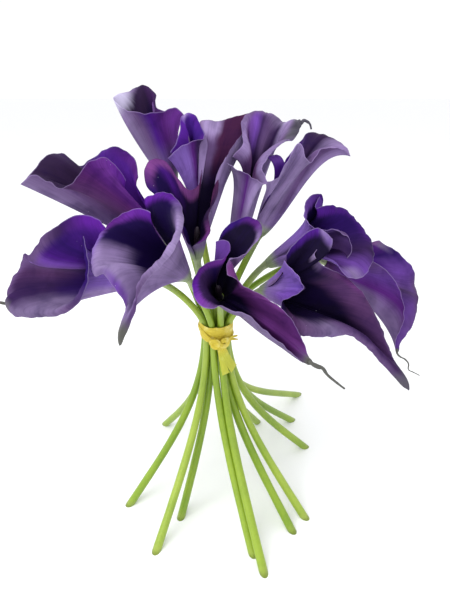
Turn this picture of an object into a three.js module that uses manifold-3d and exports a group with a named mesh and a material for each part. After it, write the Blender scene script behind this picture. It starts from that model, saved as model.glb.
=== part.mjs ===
// A bunch of twelve dark mini calla lilies, tied with a strip of raffia and standing on its cut stems.
// Millimetres, Z up, the standing surface at z = 0 and the middle of the whole bunch over the origin.
import * as THREE from "three";
import { mergeVertices } from "three/addons/utils/BufferGeometryUtils.js";
import Module from "manifold-3d";

const degree = Math.PI / 180;

// Stems: where the bunch is tied, nine stand in a ring round a core of three.
const footRadius = 3.3;
const shaftRadius = 3.1;
const tiedRadius = 2.6;
const topRadius = 2.5;
const neckRadius = 2; // the stem's end, inside the foot of the flower
const neckLength = 6;
const fitGap = 0.3;
const tieHeight = 145;
const ringRadius = tiedRadius * 3.5;
const coreRadius = tiedRadius * 1.36;
const ringTurn = 15;
const coreTurn = -30;
const footLean = 1.7; // how much flatter a stem leaves the ground than a straight one would
const dropPull = 1.2; // how far a stem runs on straight down below the tie, and up above it
const risePull = 0.7;

// Spathe: the one leaf that is rolled into each flower.
const leafThickness = 0.7;
const rootRadius = 3.4;
const rootCone = 21; // half angle of the tube where it leaves the stem
const rootWrap = 205; // each margin reaches this far round the stem, so that they overlap
const spiralStep = 0.55; // how far a margin stands out or in there
const leastStep = 5;
const lipPull = 0.9; // how far the lean of the lip is felt down the leaf
const tipStart = 0.96; // a dry tip starts inside the leaf, at this share of the way to the rim
const tipTaper = 0.65;

// Spadix: the spike deep inside the tube.
const spadixRadius = 2.3;
const spadixLength = 18;

// Raffia tie: a band, a knot in front of it and three loose ends.
const bandThickness = 0.9;
const bandFoot = 136;
const bandTop = 153;
const stripThickness = 0.8;

// Each flower: where its tube leaves the stem, and its heading, lift and turn in degrees; the stem's
// place in the tie and on the ground. The rim goes round the mouth from one margin over the tail to
// the other, its points read off the photo by eye to the whole millimetre and degree:
// [turn about the axis, distance out from it, distance along it, lean of the lip]. A farWrap is the
// reach of that other margin round the stem, where it ends short of rootWrap. A tip is a dry strand in
// steps from the tail's end, as wide there as its radius says.
const flowers = {
  left_front: {
    base: [-20, -22, 198], heading: -132, lift: 48, turn: 12, tail: 9,
    ring: 6, foot: [28, -89], reach: 0.6,
    rim: [
      [-177, 17, 53, 60], [-147, 21, 56, 70], [-114, 27, 56, 90], [-95, 33, 55, 120],
      [-68, 38, 53, 145], [-43, 40, 51, 150], [-32, 34, 51, 140], [-16, 36, 46, 130],
      [-4, 43, 37, 130], [0, 65, 32, 150], [4, 43, 35, 150], [12, 35, 42, 160],
      [30, 28, 46, 170], [69, 27, 49, 170], [104, 28, 51, 170], [146, 30, 55, 140],
      [175, 29, 56, 110], [203, 28, 54, 80],
    ],
  },
  left_low: {
    base: [-49, -2, 188], heading: -163, lift: 14, turn: -19, tail: 10, windsBack: true,
    ring: 5, foot: [-45, -86], reach: 0.9,
    rim: [
      [-186, 40, 38, 60], [-176, 43, 43, 75], [-163, 40, 57, 90], [-149, 28, 70, 95],
      [-127, 19, 79, 95], [-94, 11, 84, 95], [-84, 14, 88, 95], [-35, 17, 91, 95],
      [-13, 26, 95, 100], [-5, 33, 97, 100], [0, 37, 94, 110], [3, 41, 96, 120],
      [13, 42, 89, 140], [25, 37, 76, 160], [45, 32, 61, 170], [69, 25, 50, 160],
      [104, 19, 46, 140], [157, 21, 47, 130], [184, 30, 52, 100],
    ],
    tip: [[-4, -2, 1], [-8, -4, 3], [-11, -7, 4]], tipRadius: 1.6,
  },
  left_high: {
    base: [-36, 8, 210], heading: -171, lift: 47, turn: 8, tail: 8, windsBack: true,
    ring: 4, foot: [-73, -44], reach: 0.7,
    rim: [
      [-172, 22, 49, 80], [-155, 33, 60, 110], [-136, 35, 74, 110], [-109, 29, 79, 80],
      [-86, 27, 82, 60], [-82, 23, 96, 60], [-50, 18, 102, 50], [-17, 25, 101, 40],
      [-1, 35, 101, 20], [21, 25, 99, 25], [45, 27, 90, 40], [58, 31, 82, 60],
      [76, 29, 79, 70], [104, 30, 80, 70], [122, 31, 76, 70], [134, 26, 67, 70],
      [150, 18, 55, 70],
    ],
  },
  upper_left: {
    base: [-32, 22, 253], heading: 156, lift: 74, turn: 36, tail: 6,
    ring: 3, foot: [-55, 55], reach: 0.5,
    rim: [
      [-171, 18, 45, 60], [-143, 16, 50, 70], [-123, 10, 54, 80], [-116, 18, 65, 110],
      [-93, 15, 70, 110], [-35, 14, 69, 80], [0, 22, 66, 10], [29, 19, 56, 20],
      [57, 18, 52, 40], [85, 20, 49, 60], [111, 19, 48, 60], [141, 20, 49, 70],
      [172, 22, 42, 70],
    ],
  },
  upper_mid: {
    base: [-14, 15, 242], heading: -143, lift: 84, turn: -133, tail: 7, windsBack: true,
    core: 1, foot: [41, 58], reach: 0.6,
    rim: [
      [-225, 18, 35, 50], [-209, 15, 40, 50], [-185, 13, 43, 50], [-153, 12, 45, 50],
      [-109, 11, 45, 60], [-48, 11, 50, 80], [-22, 14, 56, 100], [0, 15, 59, 110],
      [26, 11, 58, 100], [66, 6, 52, 80], [111, 9, 44, 60], [123, 15, 38, 50],
    ],
  },
  centre: {
    base: [-13, -8, 208], heading: -78, lift: 79, turn: 134, tail: 7,
    core: 2, foot: [-29, -57], reach: 0.6,
    rim: [
      [-139, 18, 21, 60], [-121, 17, 24, 70], [-64, 8, 35, 60], [-4, 22, 51, 50],
      [-1, 36, 68, 50], [2, 61, 78, 60], [3, 70, 82, 60], [0, 78, 83, 60],
      [6, 73, 84, 60], [19, 55, 81, 60], [35, 47, 81, 60], [26, 36, 69, 50],
      [29, 27, 58, 40], [34, 16, 48, 30], [59, 14, 45, 20], [71, 20, 49, 30],
      [75, 31, 58, 50], [83, 37, 62, 70], [97, 39, 60, 90], [111, 35, 49, 90],
      [121, 21, 39, 80], [169, 14, 29, 70], [200, 18, 21, 60],
    ],
    tip: [[3, 0, 1], [6, -1, 0], [9, -1, -1]], tipRadius: 1.1,
  },
  centre_front: {
    base: [3, -20, 182], heading: -92, lift: 42, turn: 51, tail: 13, farWrap: 150,
    ring: 7, foot: [35, -103], reach: 0.6,
    rim: [
      [-227, 29, 34, 90], [-242, 30, 35, 100], [-251, 23, 37, 100], [-241, 16, 36, 100],
      [-191, 15, 35, 120], [-133, 16, 38, 130], [-73, 21, 41, 80], [-40, 19, 41, 0],
      [-14, 29, 42, -25], [-9, 40, 40, -30], [-6, 53, 34, -20], [-4, 65, 29, 20],
      [-3, 75, 23, 60], [0, 79, 21, 110], [2, 73, 23, 100], [6, 65, 28, 90],
      [13, 48, 39, 90], [18, 32, 40, 60], [27, 17, 39, 20], [58, 7, 41, -80],
      [101, 12, 39, -90], [87, 24, 36, 20], [91, 47, 31, 130], [107, 53, 28, 120],
      [125, 38, 30, 90], [128, 27, 30, 70], [115, 18, 29, 50],
    ],
    tip: [[4, 1, -3], [8, 3, -6], [12, 4, -12], [18, 3, -17], [24, 3, -22]], tipRadius: 1.7,
  },
  upper_back: {
    base: [16, 13, 210], heading: -17, lift: 80, turn: 54, tail: 8, windsBack: true,
    ring: 2, foot: [90, 104], reach: 0.5,
    rim: [
      [-194, 19, 60, 60], [-138, 16, 57, 70], [-108, 27, 55, 80], [-101, 13, 63, 80],
      [-51, 11, 71, 80], [-26, 20, 79, 80], [-20, 26, 80, 90], [-7, 34, 86, 100],
      [1, 39, 90, 120], [5, 36, 90, 110], [8, 31, 89, 100], [16, 26, 90, 100],
      [31, 25, 92, 110], [59, 28, 92, 110], [78, 26, 86, 100], [106, 11, 73, 80],
      [151, 15, 64, 70],
    ],
    tip: [[2, 0, 2], [5, 0, 1], [7, 1, -1], [8, 1, -4]], tipRadius: 1.5,
  },
  upper_right: {
    base: [33, 10, 220], heading: -8, lift: 64, turn: -1, tail: 7, windsBack: true,
    core: 0, foot: [60, -69], reach: 0.6,
    rim: [
      [-145, 17, 37, 60], [-119, 18, 43, 60], [-114, 21, 53, 60], [-110, 20, 70, 60],
      [-76, 21, 63, 60], [-64, 17, 73, 70], [-24, 19, 78, 80], [0, 28, 77, 80],
      [17, 23, 80, 90], [55, 16, 80, 90], [94, 18, 77, 80], [108, 19, 67, 70],
      [127, 16, 48, 60], [150, 16, 55, 80], [180, 22, 50, 90],
    ],
  },
  right_high: {
    base: [39, 3, 199], heading: -7, lift: 33, turn: 92, tail: 6, windsBack: true,
    ring: 0, foot: [85, 22], reach: 0.7,
    rim: [
      [-157, 37, 46, 95], [-147, 42, 49, 95], [-133, 42, 55, 95], [-108, 36, 64, 95],
      [-81, 31, 71, 95], [-47, 23, 71, 95], [-2, 20, 67, 95], [48, 17, 58, 95],
      [86, 19, 50, 95], [52, 27, 57, 95], [96, 27, 46, 95], [126, 25, 42, 95],
      [147, 22, 44, 95], [166, 15, 54, 95], [203, 14, 59, 95], [220, 23, 59, 95],
      [223, 27, 53, 95],
    ],
  },
  right_front: {
    base: [34, -14, 184], heading: -39, lift: 17, turn: 26, tail: 10, windsBack: true,
    ring: 8, foot: [72, -57], reach: 0.7,
    rim: [
      [-176, 28, 34, 60], [-168, 19, 40, 70], [-141, 12, 43, 90], [-123, 16, 39, 90],
      [-114, 25, 33, 90], [-80, 32, 38, 140], [-54, 31, 47, 160], [-21, 33, 59, 160],
      [-8, 46, 64, 150], [-4, 66, 69, 130], [0, 105, 78, 110], [2, 81, 75, 100],
      [7, 59, 73, 100], [27, 33, 68, 90], [71, 20, 57, 80], [114, 17, 48, 60],
      [138, 23, 45, 40], [122, 32, 47, 60], [126, 34, 54, 100], [129, 42, 44, 110],
      [149, 35, 37, 100], [171, 29, 33, 80],
    ],
  },
  right_far: {
    base: [85, 12, 197], heading: -8, lift: -18, turn: -25, tail: 7,
    ring: 1, foot: [77, 61], reach: 0.8,
    rim: [
      [-198, 16, 30, 50], [-171, 12, 36, 50], [-118, 12, 47, 60], [-73, 16, 56, 70],
      [-37, 21, 65, 80], [-8, 33, 70, 80], [-3, 42, 71, 70], [0, 48, 76, 60],
      [4, 40, 77, 70], [13, 30, 81, 80], [27, 20, 83, 90], [98, 12, 79, 90],
      [144, 22, 71, 80], [150, 27, 63, 100], [155, 31, 52, 90], [159, 31, 43, 110],
      [162, 32, 36, 90], [167, 26, 28, 80],
    ],
    tip: [[2, -2, -2], [5, -4, -3], [7, -7, -5], [7, -9, -9], [10, -11, -10], [14, -14, -11]], tipRadius: 0.8,
  },
};

const colours = {
  stem: 0x8fae3c,
  spathe: 0x4b2a78,
  spadix: 0x3a1a3c,
  tie: 0xdcc04a,
};

const group = new THREE.Group();
group.name = "calla_bunch";

function addMesh(name, geometry, colour, roughness) {
  const material = new THREE.MeshStandardMaterial({ color: colour, roughness, metalness: 0 });
  const mesh = new THREE.Mesh(geometry, material);
  mesh.name = name;
  group.add(mesh);
}

function geometryOf(points, triangles) {
  const geometry = new THREE.BufferGeometry().setFromPoints(points);
  geometry.setIndex(triangles.flat());
  geometry.computeVertexNormals();
  return geometry;
}

const wasm = await Module();
wasm.setup();

function solidOf(geometry) {
  const bare = new THREE.BufferGeometry();
  bare.setAttribute("position", geometry.getAttribute("position").clone());
  bare.setIndex(geometry.getIndex());
  const merged = mergeVertices(bare, 1e-4);
  return new wasm.Manifold(new wasm.Mesh({
    numProp: 3,
    vertProperties: merged.getAttribute("position").array,
    triVerts: new Uint32Array(merged.getIndex().array),
  }));
}


// A pocket or a sliver left by a join counts as a body of its own here; only the largest is kept.
function geometryFrom(solid) {
  const bodies = solid.decompose();
  const mesh = bodies.sort((one, other) => other.volume() - one.volume())[0].getMesh();
  const geometry = new THREE.BufferGeometry();
  const points = [];
  for (let i = 0; i < mesh.vertProperties.length; i += mesh.numProp) {
    points.push(...mesh.vertProperties.subarray(i, i + 3));
  }
  geometry.setAttribute("position", new THREE.Float32BufferAttribute(points, 3));
  geometry.setIndex(Array.from(mesh.triVerts));
  geometry.computeVertexNormals();
  return geometry;
}

const vector = (x, y, z) => new THREE.Vector3(x, y, z);
const along = (from, direction, distance) => from.clone().addScaledVector(direction, distance);

// The four weights of a curve between two ends with a set direction at each.
function curveWeights(t) {
  const square = t * t;
  const cube = square * t;
  return [2 * cube - 3 * square + 1, cube - 2 * square + t, 3 * square - 2 * cube, cube - square];
}

function curvePoint(start, startPull, end, endPull, t) {
  const [a, b, c, d] = curveWeights(t);
  return start.clone().multiplyScalar(a).addScaledVector(startPull, b)
    .addScaledVector(end, c).addScaledVector(endPull, d);
}

// A smooth value through evenly spaced ones.
function smoothValue(values, place) {
  const last = values.length - 1;
  const i = Math.min(Math.floor(place), last - 1);
  const slope = (j) => (values[Math.min(j + 1, last)] - values[Math.max(j - 1, 0)])
    / (Math.min(j + 1, last) - Math.max(j - 1, 0));
  const [a, b, c, d] = curveWeights(place - i);
  return a * values[i] + b * slope(i) + c * values[i + 1] + d * slope(i + 1);
}

// The flower's axis and the two directions across it; the tail hangs toward the first of them.
function axesOf(flower) {
  const heading = flower.heading * degree;
  const lift = flower.lift * degree;
  const axis = vector(Math.cos(heading) * Math.cos(lift), Math.sin(heading) * Math.cos(lift), Math.sin(lift));
  const down = along(vector(0, 0, -1), axis, axis.z).normalize();
  const tail = down.applyAxisAngle(axis, flower.turn * degree);
  return { axis, tail, side: axis.clone().cross(tail) };
}

// A tube through rings of points, closed by a flat fan at each end.
function tube(rings) {
  const sides = rings[0].length;
  const points = rings.flat();
  const triangles = [];
  for (let i = 0; i + 1 < rings.length; i++) {
    for (let j = 0; j < sides; j++) {
      const next = (j + 1) % sides;
      const corner = [i * sides + j, i * sides + next, (i + 1) * sides + next, (i + 1) * sides + j];
      triangles.push([corner[0], corner[1], corner[2]], [corner[0], corner[2], corner[3]]);
    }
  }
  const top = (rings.length - 1) * sides;
  for (let j = 1; j + 1 < sides; j++) {
    triangles.push([0, j + 1, j], [top, top + j, top + j + 1]);
  }
  return geometryOf(points, triangles);
}

function ringAt(centre, direction, radius, sides, across) {
  const first = along(across, direction, -across.dot(direction)).normalize();
  const second = direction.clone().cross(first);
  return Array.from({ length: sides }, (_, j) => {
    const turn = (j / sides) * 2 * Math.PI;
    return along(along(centre, first, radius * Math.cos(turn)), second, radius * Math.sin(turn));
  });
}

// Stem: from its cut foot to its place in the tie, and on up into the flower.
function stemPath(flower) {
  const inRing = flower.ring !== undefined;
  const turn = (inRing ? ringTurn + 40 * flower.ring : coreTurn + 120 * flower.core) * degree;
  const reach = inRing ? ringRadius : coreRadius;
  const tied = vector(reach * Math.cos(turn), reach * Math.sin(turn), tieHeight);
  const foot = vector(flower.foot[0], flower.foot[1], 0);
  const base = vector(...flower.base);
  const { axis } = axesOf(flower);
  const lower = tied.distanceTo(foot);
  const upper = base.distanceTo(tied);
  const leaving = tied.clone().sub(foot).multiply(vector(footLean, footLean, 1)).setLength(lower);
  const up = vector(0, 0, 1);
  const below = (t) => curvePoint(foot, leaving, tied, up.clone().multiplyScalar(lower * dropPull), t);
  const above = (t) => curvePoint(tied, up.clone().multiplyScalar(upper * risePull),
    along(base, axis, -fitGap), axis.clone().multiplyScalar(upper * flower.reach), t);
  return { below, above, axis, base };
}

// The stem's radius at a share of the way from the ground to the tie.
function radiusBelow(t) {
  const taper = Math.max((t - 0.6) / 0.4, 0);
  return footRadius + (shaftRadius - footRadius) * Math.min(t / 0.6, 1) + (tiedRadius - shaftRadius) * taper;
}

function stem(flower) {
  const sides = 7;
  const lowerSteps = 7;
  const upperSteps = 6;
  const { below, above, axis, base } = stemPath(flower);
  const stations = [];
  for (let i = 0; i < lowerSteps; i++) {
    const t = i / lowerSteps;
    const ahead = below(t + 0.01);
    stations.push({ centre: below(t), ahead, behind: below(Math.max(t - 0.01, 0)), radius: radiusBelow(t) });
  }
  for (let i = 0; i <= upperSteps; i++) {
    const t = i / upperSteps;
    const radius = tiedRadius + (topRadius - tiedRadius) * t;
    const ahead = i < upperSteps ? above(t + 0.01) : along(above(1), axis, 1);
    stations.push({ centre: above(t), ahead, behind: i ? above(t - 0.01) : below(0.99), radius });
  }
  const under = along(base, axis, -1);
  stations.push({ centre: base, ahead: along(base, axis, 1), behind: under, radius: neckRadius });
  const neckTop = along(base, axis, neckLength);
  stations.push({ centre: neckTop, ahead: along(neckTop, axis, 1), behind: base, radius: neckRadius });
  let across = vector(0, 1, 0);
  const rings = stations.map(({ centre, ahead, behind, radius }) => {
    const direction = ahead.clone().sub(behind).normalize();
    const ring = ringAt(centre, direction, radius, sides, across);
    across = ring[0].clone().sub(centre);
    return ring;
  });
  // The foot is cut level: its ring is slid along the stem onto the ground.
  const leaving = below(0.01).sub(below(0)).normalize();
  rings[0] = rings[0].map((point) => along(point, leaving, -point.z / leaving.z));
  return tube(rings);
}

// Spathe: rows of points from the root to the rim, a little closer together toward the rim's roll.
const leafSteps = [0, 0.14, 0.32, 0.5, 0.67, 0.83, 0.94, 1];

// Where each rim point's line of the leaf starts round the stem: in step with the rim's own turn.
function rootTurns(flower) {
  const sums = [0];
  for (let i = 1; i < flower.rim.length; i++) {
    sums.push(sums[i - 1] + Math.max(flower.rim[i][0] - flower.rim[i - 1][0], leastStep));
  }
  const tail = sums[flower.tail];
  const end = sums[sums.length - 1];
  const farWrap = flower.farWrap ?? rootWrap;
  const near = rootWrap / tail;
  const far = farWrap / (end - tail);
  return sums.map((sum) => (sum < tail ? near : far) * (sum - tail));
}

function spathePoint(flower, axes, place, u) {
  const [turn, out, height, lip] = [0, 1, 2, 3].map((i) =>
    smoothValue(flower.rim.map((row) => row[i]), place));
  const reach = Math.max(out, 2);
  const rootTurn = smoothValue(axes.roots, place);
  const ease = u * u * (3 - 2 * u);
  const angle = (rootTurn + (turn - rootTurn) * ease) * degree;
  const chord = Math.hypot(reach - rootRadius, height);
  const [a, b, c, d] = curveWeights(u);
  const radius = a * rootRadius + b * chord * Math.sin(rootCone * degree) + c * reach
    + d * lipPull * chord * Math.sin(lip * degree)
    + ((flower.windsBack ? -1 : 1) * spiralStep * (1 + 6 * u * (1 - u)) * angle) / Math.PI;
  const rise = b * chord * Math.cos(rootCone * degree) + c * height
    + d * lipPull * chord * Math.cos(lip * degree);
  const point = along(vector(...flower.base), axes.axis, rise);
  point.addScaledVector(axes.tail, radius * Math.cos(angle));
  return point.addScaledVector(axes.side, radius * Math.sin(angle));
}

function spathe(flower) {
  const axes = { ...axesOf(flower), roots: rootTurns(flower) };
  const columns = 2 * (flower.rim.length - 1) + 1;
  const rows = leafSteps.length;
  const middle = (i, j) => spathePoint(flower, axes, j / 2, leafSteps[i]);
  const step = 0.02;
  const outer = [];
  const inner = [];
  for (let i = 0; i < rows; i++) {
    for (let j = 0; j < columns; j++) {
      const u = leafSteps[i];
      const place = j / 2;
      const before = Math.max(u - step, 0);
      const after = Math.min(u + step, 1);
      const left = Math.max(place - step, 0);
      const right = Math.min(place + step, flower.rim.length - 1);
      const alongLeaf = spathePoint(flower, axes, place, after).sub(spathePoint(flower, axes, place, before));
      const acrossLeaf = spathePoint(flower, axes, right, u).sub(spathePoint(flower, axes, left, u));
      const outward = acrossLeaf.cross(alongLeaf).normalize();
      const point = middle(i, j);
      outer.push(along(point, outward, leafThickness / 2));
      inner.push(along(point, outward, -leafThickness / 2));
    }
  }
  const count = outer.length;
  const at = (i, j) => i * columns + j;
  const triangles = [];
  const quad = (a, b, c, d) => triangles.push([a, b, c], [a, c, d]);
  for (let i = 0; i + 1 < rows; i++) {
    for (let j = 0; j + 1 < columns; j++) {
      const [a, b, c, d] = [at(i, j), at(i, j + 1), at(i + 1, j + 1), at(i + 1, j)];
      quad(a, b, c, d);
      triangles.push([count + a, count + c, count + b], [count + a, count + d, count + c]);
    }
  }
  for (let j = 0; j + 1 < columns; j++) {
    const [a, b] = [at(rows - 1, j), at(rows - 1, j + 1)];
    quad(a, b, count + b, count + a);
    quad(count + at(0, j), count + at(0, j + 1), at(0, j + 1), at(0, j));
  }
  for (let i = 0; i + 1 < rows; i++) {
    quad(at(i, 0), at(i + 1, 0), count + at(i + 1, 0), count + at(i, 0));
    const last = columns - 1;
    quad(at(i + 1, last), at(i, last), count + at(i, last), count + at(i + 1, last));
  }
  const leaf = geometryOf([...outer, ...inner], triangles);
  return flower.tip ? geometryFrom(solidOf(leaf).add(solidOf(dryTip(flower, axes)))) : leaf;
}

// Dry tip: the leaf's tail, drawn out into a thin bent strand that starts inside the leaf.
function dryTip(flower, axes) {
  const end = spathePoint(flower, axes, flower.tail, 1);
  const start = spathePoint(flower, axes, flower.tail, tipStart);
  const places = [start, end, ...flower.tip.map((step) => end.clone().add(vector(...step)))];
  const last = places.length - 1;
  const at = (t) => vector(...["x", "y", "z"].map((part) =>
    smoothValue(places.map((place) => place[part]), t)));
  const rings = [];
  for (let t = 0; t <= last; t++) {
    const direction = at(Math.min(t + 0.1, last)).sub(at(Math.max(t - 0.1, 0))).normalize();
    const radius = flower.tipRadius * (1 - (tipTaper * t) / last);
    rings.push(ringAt(at(t), direction, radius, 5, axes.axis));
  }
  return tube(rings);
}

// Spadix: a blunt spike on the stem's end, its radius waved by the rows of tiny florets.
function spadix(flower) {
  const { axis, tail } = axesOf(flower);
  const rings = [];
  const steps = 6;
  for (let i = 0; i <= steps; i++) {
    const t = i / steps;
    const swell = Math.sqrt(Math.max(1 - t ** 6, 0.12)) * (0.8 + 0.2 * Math.min(3 * t, 1));
    const bump = i % 2 ? 1.05 : 0.95;
    const centre = along(vector(...flower.base), axis, neckLength + fitGap + t * spadixLength);
    rings.push(ringAt(centre, axis, spadixRadius * swell * bump, 6, tail));
  }
  return tube(rings);
}

for (const [name, flower] of Object.entries(flowers)) {
  addMesh("stem_" + name, stem(flower), colours.stem, 0.5);
  addMesh("spathe_" + name, spathe(flower), colours.spathe, 0.6);
  addMesh("spadix_" + name, spadix(flower), colours.spadix, 0.7);
}

// How far the outermost stem reaches from the middle of the tie at a height.
function reachOfStems(height) {
  let reach = 0;
  for (const flower of Object.values(flowers)) {
    const { below, above } = stemPath(flower);
    for (let i = 0; i <= 100; i++) {
      const low = below(0.7 + (0.3 * i) / 100);
      const high = above((0.5 * i) / 100);
      const lowRadius = radiusBelow(0.7 + (0.3 * i) / 100);
      if (Math.abs(low.z - height) < 1) reach = Math.max(reach, Math.hypot(low.x, low.y) + lowRadius);
      if (Math.abs(high.z - height) < 1) reach = Math.max(reach, Math.hypot(high.x, high.y) + tiedRadius);
    }
  }
  return reach + 2 * fitGap;
}

// Band: a closed ring whose bore keeps clear of the stems at every height.
function band() {
  const steps = 4;
  const sides = 30;
  const inner = [];
  for (let i = 0; i <= steps; i++) {
    const height = bandFoot + ((bandTop - bandFoot) * i) / steps;
    inner.push([reachOfStems(height) / Math.cos(Math.PI / sides), height]);
  }
  const profile = [...inner, ...inner.map(([r, z]) => [r + bandThickness, z]).reverse()];
  const count = profile.length;
  const points = [];
  const triangles = [];
  for (let j = 0; j < sides; j++) {
    const turn = (j / sides) * 2 * Math.PI;
    const next = (j + 1) % sides;
    profile.forEach(([r, z], i) => {
      points.push(vector(r * Math.cos(turn), r * Math.sin(turn), z));
      const up = (i + 1) % count;
      const corner = [j * count + i, j * count + up, next * count + up, next * count + i];
      triangles.push([corner[0], corner[1], corner[2]], [corner[0], corner[2], corner[3]]);
    });
  }
  return geometryOf(points, triangles);
}

// A loose end: a flat strip through points [x, height, width] that lies over the front of the stems.
function strip(places, lift) {
  const rings = places.map(([x, height, width]) => {
    const reach = reachOfStems(height) + lift;
    const front = (side) => -Math.sqrt(Math.max(reach * reach - side * side, 1));
    const left = x - width / 2;
    const right = x + width / 2;
    return [
      vector(left, front(left), height), vector(right, front(right), height),
      vector(right, front(right) - stripThickness, height),
      vector(left, front(left) - stripThickness, height),
    ];
  });
  return tube(rings);
}

// The short end that stands out to the right of the knot.
function sideEnd() {
  const height = 141;
  const stations = [[9, 9, 1.8], [13, 11, 2], [17.5, 11.5, 2.4]];
  return tube(stations.map(([x, out, half]) => [
    vector(x, -out, height - half), vector(x, -out, height + half),
    vector(x, -out - stripThickness, height + half), vector(x, -out - stripThickness, height - half),
  ]));
}

function lobe(x, height, wide, deep, high) {
  const geometry = new THREE.SphereGeometry(1, 12, 8);
  geometry.scale(wide, deep, high);
  const reach = reachOfStems(height) + bandThickness / 2 + deep * 0.9;
  return geometry.translate(x, -Math.sqrt(reach * reach - x * x), height);
}

// Tie: the band, a knot of two turns in front and three loose ends, all one strip of raffia.
function tie() {
  const pieces = [
    band(),
    lobe(-1.5, 139, 5, 2.6, 3.2),
    lobe(6, 139.5, 3.8, 2.8, 3.6),
    strip([[4.5, 139, 4.4], [7, 132, 5.6], [10.5, 123, 6.8], [13.5, 113.5, 7.4]], 1.3),
    strip([[3.5, 139, 3.4], [5, 131, 4], [6.6, 122, 5], [7.8, 112.5, 6]], 1.9),
    sideEnd(),
  ];
  return geometryFrom(wasm.Manifold.union(pieces.map(solidOf)).simplify(0.02));
}

addMesh("tie", tie(), colours.tie, 0.6);

// The middle of the whole bunch goes over the origin.
const box = new THREE.Box3().setFromObject(group);
group.position.set(-(box.min.x + box.max.x) / 2, -(box.min.y + box.max.y) / 2, 0);

export default group;
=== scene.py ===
# A hand-tied bunch of twelve dark mini calla lilies, standing on its cut stems.
# Lengths are millimetres and angles degrees; a mesh is made in metres.
import bpy
import numpy as np
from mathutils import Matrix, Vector


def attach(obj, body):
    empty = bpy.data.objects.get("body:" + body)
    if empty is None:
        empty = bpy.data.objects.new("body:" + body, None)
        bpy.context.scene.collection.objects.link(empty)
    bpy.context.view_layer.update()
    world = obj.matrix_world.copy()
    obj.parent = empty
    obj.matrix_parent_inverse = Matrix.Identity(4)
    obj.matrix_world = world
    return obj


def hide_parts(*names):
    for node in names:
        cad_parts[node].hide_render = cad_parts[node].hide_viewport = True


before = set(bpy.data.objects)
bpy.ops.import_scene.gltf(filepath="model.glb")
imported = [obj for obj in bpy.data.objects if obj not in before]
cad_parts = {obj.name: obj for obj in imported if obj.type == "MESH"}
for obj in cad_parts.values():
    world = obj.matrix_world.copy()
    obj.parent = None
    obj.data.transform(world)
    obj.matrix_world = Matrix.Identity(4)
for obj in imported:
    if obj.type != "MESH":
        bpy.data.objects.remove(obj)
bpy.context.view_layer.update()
print("frame loaded with", len(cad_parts), "nodes")

scene = bpy.context.scene
millimetre = 0.001
bunchMiddle = np.array([0.53, 0.42, 0])  # as seen from the tie, where the flowers are measured from

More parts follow.
